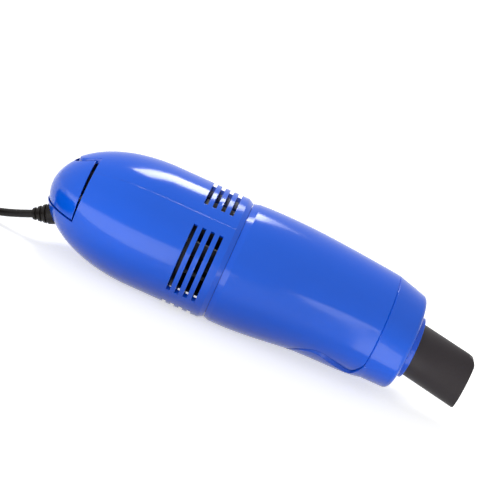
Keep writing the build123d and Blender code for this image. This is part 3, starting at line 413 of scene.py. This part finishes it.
def nonwoven_polyester(colours):
    """Non-woven polyester filter cloth: white, felted, with loose crossing fibres."""
    material, tree, coords = new_material("nonwoven_polyester")
    # Fibres are hundredths of a millimetre thick, drawn at a third of a millimetre so that they show
    fibre_mm = 0.35
    fibre_depth_mm = 0.08
    # A wave texture at scale 0.3 has about one band in each unit
    band_scale = 0.3
    fibres = add_node(
        tree, "ShaderNodeTexWave",
        {"Scale": band_scale / (fibre_mm * MM), "Distortion": 14, "Detail": 4, "Detail Scale": 2},
        {"Vector": coords}, wave_type="BANDS",
    )
    # The felt is thicker and thinner in clouds some 3 mm across
    cloud_mm = 3
    cloud = add_node(
        tree, "ShaderNodeTexNoise", {"Scale": 1 / (cloud_mm * MM), "Detail": 5}, {"Vector": coords}
    )
    thin = shaded(colours.filter_white, 0.8)
    tint = add_node(
        tree, "ShaderNodeMix", {MIX_FROM: thin, MIX_TO: colours.filter_white},
        {MIX_SHARE: cloud.outputs["Fac"]}, data_type="RGBA",
    )
    bump = add_node(
        tree, "ShaderNodeBump", {"Strength": 0.5, "Distance": fibre_depth_mm * MM},
        {"Height": fibres.outputs["Fac"]},
    )
    finish_material(
        tree,
        {"IOR": 1.5, "Roughness": 0.9, "Sheen Weight": 0.25, "Sheen Roughness": 0.5},
        {"Base Color": tint.outputs[MIX_RESULT], "Normal": bump.outputs["Normal"]},
    )
    return material


def dress(material, *nodes):
    """Give CAD nodes a material."""
    for name in nodes:
        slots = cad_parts[name].data.materials
        slots.clear()
        slots.append(material)


def circle_point(x, radius, way, height):
    """Point on a circle round a line along X at a height, its way counted from the top."""
    return (x, radius * sin(way), height + radius * cos(way))


def smooth_piece(context, name, mesh, material):
    """Smooth object of one material from a finished mesh."""
    bmesh.ops.recalc_face_normals(mesh, faces=mesh.faces)
    data = bpy.data.meshes.new(name)
    mesh.to_mesh(data)
    mesh.free()
    data.shade_smooth()
    data.materials.append(material)
    piece = bpy.data.objects.new(name, data)
    context.scene.collection.objects.link(piece)
    return piece


class VACUUM_OT_shells(bpy.types.Operator):
    """Finish the housing, the tail button, the dust cup, the nose cap and the nozzle ring"""

    bl_idname = "vacuum.shells"
    bl_label = "Shells"

    def execute(self, context):
        blue = moulded_abs(context.scene.vacuum_colours)
        dress(blue, "rear_shell_lower", "rear_shell_upper", "tail_button")
        dress(blue, "dust_cup", "nose_cap", "nozzle_ring")
        return {"FINISHED"}


class VACUUM_OT_nozzle(bpy.types.Operator):
    """Finish the rubber nozzle and the seal ring"""

    bl_idname = "vacuum.nozzle"
    bl_label = "Nozzle and seal"

    def execute(self, context):
        dress(moulded_rubber(context.scene.vacuum_colours), "rubber_nozzle", "seal_ring")
        return {"FINISHED"}


def rim_mesh(outline, steps, height):
    """Ring about a line along X, its cross-section an outline of places along X and radii."""
    mesh = bmesh.new()
    rows = []
    for j in range(steps):
        way = 2 * pi * j / steps
        rows.append([mesh.verts.new(circle_point(x, radius, way, height)) for x, radius in outline])
    for j, row in enumerate(rows):
        for k in range(len(outline)):
            mesh.faces.new((row[k], row[k - 1], rows[j - 1][k - 1], rows[j - 1][k]))
    return mesh


class VACUUM_OT_rim(bpy.types.Operator):
    """Make the rim that fits over the nozzle ring's lip, round the root of the nozzle"""

    bl_idname = "vacuum.rim"
    bl_label = "Ring rim"

    def execute(self, context):
        sizes = context.scene.vacuum_sizes
        low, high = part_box("nozzle_ring")
        middle = (low + high) / 2
        cap_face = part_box("nose_cap")[1].x
        nozzle_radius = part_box("rubber_nozzle")[1].y
        back, step, front = cap_face + sizes.rim_gap, high.x, cap_face + sizes.rim_reach
        outside, seat, inside = sizes.rim_radius, sizes.ring_lip_radius, nozzle_radius + sizes.rim_gap
        outline = (
            (back, seat),
            (back, outside),
            (front, outside),
            (front, inside),
            (step, inside),
            (step, seat),
        )
        mesh = rim_mesh(outline, sizes.rim_steps, middle.z)
        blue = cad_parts["nozzle_ring"].data.materials[0]
        rim = smooth_piece(context, "nozzle_ring_rim", mesh, blue)
        edges = rim.modifiers.new("edges", "BEVEL")
        edges.width = sizes.rim_edge
        edges.segments = 3
        edges.harden_normals = True
        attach(rim, "nozzle_ring")
        return {"FINISHED"}


class VACUUM_OT_drive(bpy.types.Operator):
    """Finish the fan, the motor, the switch, the wires and the small parts of the lead"""

    bl_idname = "vacuum.drive"
    bl_label = "Fan, motor and switch"

    def execute(self, context):
        colours = context.scene.vacuum_colours
        nylon = black_nylon(colours)
        dress(nylon, "impeller", "motor_mount", "motor_end_bell", "fan_inlet_plate", "filter_frame")
        dress(nylon, "switch_plate", "switch_body", "switch_plunger", "duct_insert")
        dress(nylon, "cable_tie", "plug_tongue")
        nickel = nickel_plate(colours)
        dress(nickel, "motor_can", "motor_shaft", "motor_screws")
        dress(nickel, "button_pin", "shell_screws", "plug_shell")
        dress(bare_brass(colours), "motor_commutator", "motor_bushes", "motor_terminals", "plug_contacts")
        dress(iron_laminations(colours), "motor_armature", "motor_magnets")
        dress(wire_insulation("wire_insulation_red", colours.wire_red), "wire_supply", "wire_switch")
        dress(wire_insulation("wire_insulation_black", colours.wire_black), "wire_return")
        return {"FINISHED"}


def coil_route(sizes):
    """Control points of the coil: its spiral runs in and out again and climbs a layer at each reversal."""
    end_turns, pass_turns, steps = sizes.coil_end_turns, sizes.coil_pass_turns, sizes.coil_steps
    reversals = [end_turns, end_turns + pass_turns, end_turns + 2 * pass_turns]
    turns = 2 * (end_turns + pass_turns)
    outer = sizes.coil_inner_radius + sizes.coil_pitch * end_turns
    entry = Vector(LEAD_ROUTE[-1]) - Vector((2 * sizes.cord_radius, 0, 0))
    centre = entry - Vector((0, outer, 0))
    points = []
    for k in range(int(turns * steps) + 1):
        turn = k / steps
        from_inside = min(abs(turn - reversals[0]), abs(turn - reversals[2]))
        radius = sizes.coil_inner_radius + sizes.coil_pitch * from_inside
        climbs = [min(max((turn - middle) / sizes.coil_climb_turns + 0.5, 0), 1) for middle in reversals]
        height = sizes.coil_pitch * sum(climb * climb * (3 - 2 * climb) for climb in climbs)
        spread = radius / cos(pi / steps)
        way = pi / 2 + 2 * pi * turn
        points.append(centre + Vector((spread * cos(way), spread * sin(way), height)))
    return points


def lead_curve(sizes, material):
    """Round tube along the lead's whole route."""
    tube_steps, bend_steps = 5, 6
    curve = bpy.data.curves.new("lead", "CURVE")
    curve.dimensions = "3D"
    curve.bevel_depth = sizes.cord_radius
    curve.bevel_resolution = tube_steps
    curve.use_fill_caps = True
    curve.resolution_u = bend_steps
    curve.materials.append(material)
    route = [*map(Vector, LEAD_ROUTE), *coil_route(sizes), *map(Vector, TAIL_ROUTE)]
    spline = curve.splines.new("NURBS")
    spline.points.add(len(route) - 1)
    for point, spot in zip(spline.points, route):
        point.co = (*spot, 1)
    spline.order_u = 3
    spline.use_endpoint_u = True
    return curve


class VACUUM_OT_lead(bpy.types.Operator):
    """Make the lead from the strain relief through its coil to the plug, and finish both ends"""

    bl_idname = "vacuum.lead"
    bl_label = "Lead and plug"

    def execute(self, context):
        sizes = context.scene.vacuum_sizes
        pvc = soft_pvc(context.scene.vacuum_colours)
        lead = bpy.data.objects.new("lead", lead_curve(sizes, pvc))
        context.scene.collection.objects.link(lead)
        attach(lead, "housing")
        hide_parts("cord_lead", "cord_coil", "cord_tail")
        dress(pvc, "strain_relief", "plug_body")
        return {"FINISHED"}


def bag_mesh(sizes, low, high, radius):
    """Round bag in a box: it narrows to its end, is drawn in between the ribs and has a sunk end."""
    steps, rings = sizes.cloth_steps, sizes.cloth_rings
    half = sizes.cloth_thickness / 2
    height = ((low + high) / 2).z
    end_shares = (0.75, 0.5, 0.25)
    mesh = bmesh.new()
    rows = []
    for k in range(rings + 1):
        share = k / rings
        x = low.x + half + share * (high.x - low.x - 2 * half)
        row = []
        for j in range(steps):
            way = 2 * pi * j / steps
            drawn = sizes.cloth_sag * sin(pi * share) * (1 - cos(sizes.cloth_ribs * way)) / 2
            reach = radius - share * sizes.cloth_taper - drawn
            row.append(mesh.verts.new(circle_point(x, reach, way, height)))
        rows.append(row)
    for share in end_shares:
        row = []
        for vert in rows[rings]:
            x = vert.co.x - sizes.cloth_sag * (1 - share)
            z = (vert.co.z - height) * share + height
            row.append(mesh.verts.new((x, vert.co.y * share, z)))
        rows.append(row)
    for lower, upper in zip(rows, rows[1:]):
        for j in range(steps):
            mesh.faces.new((lower[j], lower[j - 1], upper[j - 1], upper[j]))
    mesh.faces.new(rows[-1])
    return mesh


class VACUUM_OT_filter(bpy.types.Operator):
    """Make the filter cloth inside its ribs"""

    bl_idname = "vacuum.filter"
    bl_label = "Filter cloth"

    def execute(self, context):
        sizes = context.scene.vacuum_sizes
        low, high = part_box("filter_cloth")
        base = (high.z - low.z) / 2 - sizes.cloth_thickness / 2
        mesh = bag_mesh(sizes, low, high, base)
        area = sum(face.calc_area() for face in mesh.faces)
        cloth = nonwoven_polyester(context.scene.vacuum_colours)
        bag = smooth_piece(context, "filter_bag", mesh, cloth)
        solid = bag.modifiers.new("thickness", "SOLIDIFY")
        solid.thickness = sizes.cloth_thickness
        solid.offset = 0
        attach(bag, "housing")
        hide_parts("filter_cloth")
        return {"FINISHED"}


def lamp(context, name, spot, aim, size, turn, radiance, mirrored=True):
    """Soft rectangular lamp turned towards a point: its brightness in whites, and if gloss mirrors it."""
    data = bpy.data.lights.new(name, "AREA")
    data.shape = "RECTANGLE"
    data.size, data.size_y = size
    data.energy = radiance * pi * size[0] * size[1]
    thing = bpy.data.objects.new(name, data)
    way = (Vector(aim) - Vector(spot)).to_track_quat("-Z", "Y")
    thing.location = spot
    thing.rotation_euler = (way.to_matrix() @ Matrix.Rotation(turn, 3, "Z")).to_euler()
    thing.visible_camera = False
    thing.visible_glossy = mirrored
    context.scene.collection.objects.link(thing)
    return data


def fade(data, full_x, dim_x, least):
    """Let a lamp fade along the body's direction, from full brightness to the least share of it."""
    data.use_nodes = True
    tree = data.node_tree
    tree.nodes.clear()
    spot = add_node(tree, "ShaderNodeNewGeometry").outputs["Position"]
    along = add_node(tree, "ShaderNodeSeparateXYZ", links={"Vector": spot})
    strength = add_node(
        tree, "ShaderNodeMapRange", {"From Min": full_x, "From Max": dim_x, "To Min": 1, "To Max": least},
        {"Value": along.outputs["X"]}, interpolation_type="SMOOTHSTEP",
    )
    glow = add_node(tree, "ShaderNodeEmission", links={"Strength": strength.outputs["Result"]})
    add_node(tree, "ShaderNodeOutputLight", links={"Surface": glow.outputs["Emission"]})


def seen_white(tree, strength):
    """The given strength for what the eye, a mirror or clear stuff sees, and 0 for other light."""
    rays = add_node(tree, "ShaderNodeLightPath").outputs
    direct = add_node(
        tree, "ShaderNodeMath", links={0: rays["Is Camera Ray"], 1: rays["Is Glossy Ray"]},
        operation="MAXIMUM",
    )
    seen = add_node(
        tree, "ShaderNodeMath", links={0: direct.outputs["Value"], 1: rays["Is Transmission Ray"]},
        operation="MAXIMUM",
    )
    share = add_node(
        tree, "ShaderNodeMath", {1: strength}, {0: seen.outputs["Value"]}, operation="MULTIPLY"
    )
    return share.outputs["Value"]


def studio_floor(colours, glow_strength):
    """Matt white floor: lit by the lamps, with a share of plain white for what looks at it."""
    material, tree, coords = new_material("studio_floor")
    # The paint is more and less matt in patches some 40 mm across
    patch_mm = 40
    patches = add_node(
        tree, "ShaderNodeTexNoise", {"Scale": 1 / (patch_mm * MM), "Detail": 2}, {"Vector": coords}
    )
    rough = add_node(
        tree, "ShaderNodeMapRange", {"To Min": 0.85, "To Max": 0.95}, {"Value": patches.outputs["Fac"]}
    )
    matt = add_node(
        tree, "ShaderNodeBsdfDiffuse", {"Color": colours.floor_white}, {"Roughness": rough.outputs["Result"]}
    )
    glow = add_node(
        tree, "ShaderNodeEmission", {"Color": WHITE}, {"Strength": seen_white(tree, glow_strength)}
    )
    both = add_node(
        tree, "ShaderNodeAddShader", links={0: matt.outputs["BSDF"], 1: glow.outputs["Emission"]}
    )
    add_node(tree, "ShaderNodeOutputMaterial", links={"Surface": both.outputs["Shader"]})
    return material


def make_floor(context):
    """Square floor that the object rests on."""
    stage = context.scene.vacuum_stage
    half = stage.floor_half
    data = bpy.data.meshes.new("floor")
    corners = [(-half, -half, 0), (half, -half, 0), (half, half, 0), (-half, half, 0)]
    data.from_pydata(corners, [], [(0, 1, 2, 3)])
    data.materials.append(studio_floor(context.scene.vacuum_colours, stage.floor_glow))
    floor = bpy.data.objects.new("floor", data)
    context.scene.collection.objects.link(floor)


def make_even_light(context):
    """World that lights evenly from all sides and looks white."""
    even = context.scene.vacuum_stage.world_strength
    world = bpy.data.worlds.new("even_light")
    world.use_nodes = True
    tree = world.node_tree
    tree.nodes.clear()
    strength = add_node(
        tree, "ShaderNodeMath", {1: even}, {0: seen_white(tree, 1 - even)}, operation="ADD"
    )
    light = add_node(
        tree, "ShaderNodeBackground", {"Color": WHITE}, {"Strength": strength.outputs["Value"]}
    )
    add_node(tree, "ShaderNodeOutputWorld", links={"Surface": light.outputs["Background"]})
    context.scene.world = world


def make_lamps(context):
    """Softboxes above and at the sides, a narrow panel beside the camera and two cards on the floor."""
    stage = context.scene.vacuum_stage
    aim, glow = stage.lamp_aim, stage.card_radiance
    top = lamp(
        context, "top_softbox", stage.top_place, aim, stage.top_sides, stage.top_turn, stage.top_radiance
    )
    fade(top, stage.top_full_x, stage.top_dim_x, stage.top_least)
    lamp(
        context, "narrow_panel", stage.panel_place, aim, stage.panel_sides, stage.panel_turn,
        stage.panel_radiance,
    )
    right = Vector(stage.side_place)
    left = right * Vector((-1, 1, 1))
    lamp(context, "right_softbox", right, aim, stage.side_sides, 0, stage.right_radiance, mirrored=False)
    lamp(context, "left_softbox", left, aim, stage.side_sides, 0, stage.left_radiance, mirrored=False)
    upwards = Vector((0, 0, 1))
    near, wide = Vector(stage.near_card_place), Vector(stage.wide_card_place)
    lamp(context, "near_card", near, near + upwards, stage.near_card_sides, stage.near_card_turn, glow)
    lamp(context, "wide_card", wide, wide + upwards, stage.wide_card_sides, 0, glow)


def make_camera(context):
    """Camera turned, tilted and rolled to the photograph's viewing angle."""
    stage = context.scene.vacuum_stage
    tilt, turn, roll = stage.elevation, stage.azimuth, stage.roll
    forward = Vector((sin(turn) * cos(tilt), cos(turn) * cos(tilt), -sin(tilt)))
    level = Vector((cos(turn), -sin(turn), 0))
    up = level.cross(forward)
    across = level * cos(roll) + up * sin(roll)
    upright = up * cos(roll) - level * sin(roll)
    eye = bpy.data.cameras.new("photo_camera")
    eye.lens = stage.lens
    eye.sensor_width = stage.sensor
    camera = bpy.data.objects.new("photo_camera", eye)
    stand = Vector((stage.target_x, 0, stage.target_z)) - forward * stage.distance
    turned = Matrix((across, upright, -forward)).transposed().to_4x4()
    camera.matrix_world = Matrix.Translation(stand) @ turned
    context.scene.collection.objects.link(camera)
    context.scene.camera = camera


class VACUUM_OT_stage(bpy.types.Operator):
    """Make the floor, the even light, the lamps and the camera"""

    bl_idname = "vacuum.stage"
    bl_label = "Stage"

    def execute(self, context):
        make_floor(context)
        make_even_light(context)
        make_lamps(context)
        make_camera(context)
        context.scene.view_settings.view_transform = "Standard"
        return {"FINISHED"}


OPERATORS = (
    VACUUM_OT_shells,
    VACUUM_OT_nozzle,
    VACUUM_OT_rim,
    VACUUM_OT_drive,
    VACUUM_OT_lead,
    VACUUM_OT_filter,
    VACUUM_OT_stage,
)


class VACUUM_PT_tools(bpy.types.Panel):
    """Operators, colours and sizes of the cleaner"""

    bl_idname = "VACUUM_PT_tools"
    bl_label = "Keyboard vacuum cleaner"
    bl_space_type = "VIEW_3D"
    bl_region_type = "UI"
    bl_category = "Vacuum"

    def draw(self, context):
        for operator in OPERATORS:
            self.layout.operator(operator.bl_idname)
        scene = context.scene
        for group in (scene.vacuum_colours, scene.vacuum_sizes, scene.vacuum_stage):
            box = self.layout.box()
            for name in type(group).__annotations__:
                box.prop(group, name)


CLASSES = (VacuumColours, VacuumSizes, VacuumStage, *OPERATORS, VACUUM_PT_tools)


def register():
    """Register the classes and the scene's settings."""
    for item in CLASSES:
        bpy.utils.register_class(item)
    bpy.types.Scene.vacuum_colours = bpy.props.PointerProperty(type=VacuumColours)
    bpy.types.Scene.vacuum_sizes = bpy.props.PointerProperty(type=VacuumSizes)
    bpy.types.Scene.vacuum_stage = bpy.props.PointerProperty(type=VacuumStage)


def unregister():
    """Take the classes and the scene's settings away again."""
    del bpy.types.Scene.vacuum_stage
    del bpy.types.Scene.vacuum_sizes
    del bpy.types.Scene.vacuum_colours
    for item in reversed(CLASSES):
        bpy.utils.unregister_class(item)


def main():
    """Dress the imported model."""
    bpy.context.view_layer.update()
    register()
    bpy.ops.vacuum.shells()
    bpy.ops.vacuum.nozzle()
    bpy.ops.vacuum.rim()
    bpy.ops.vacuum.drive()
    bpy.ops.vacuum.lead()
    bpy.ops.vacuum.filter()
    bpy.ops.vacuum.stage()


if __name__ == "__main__":
    main()
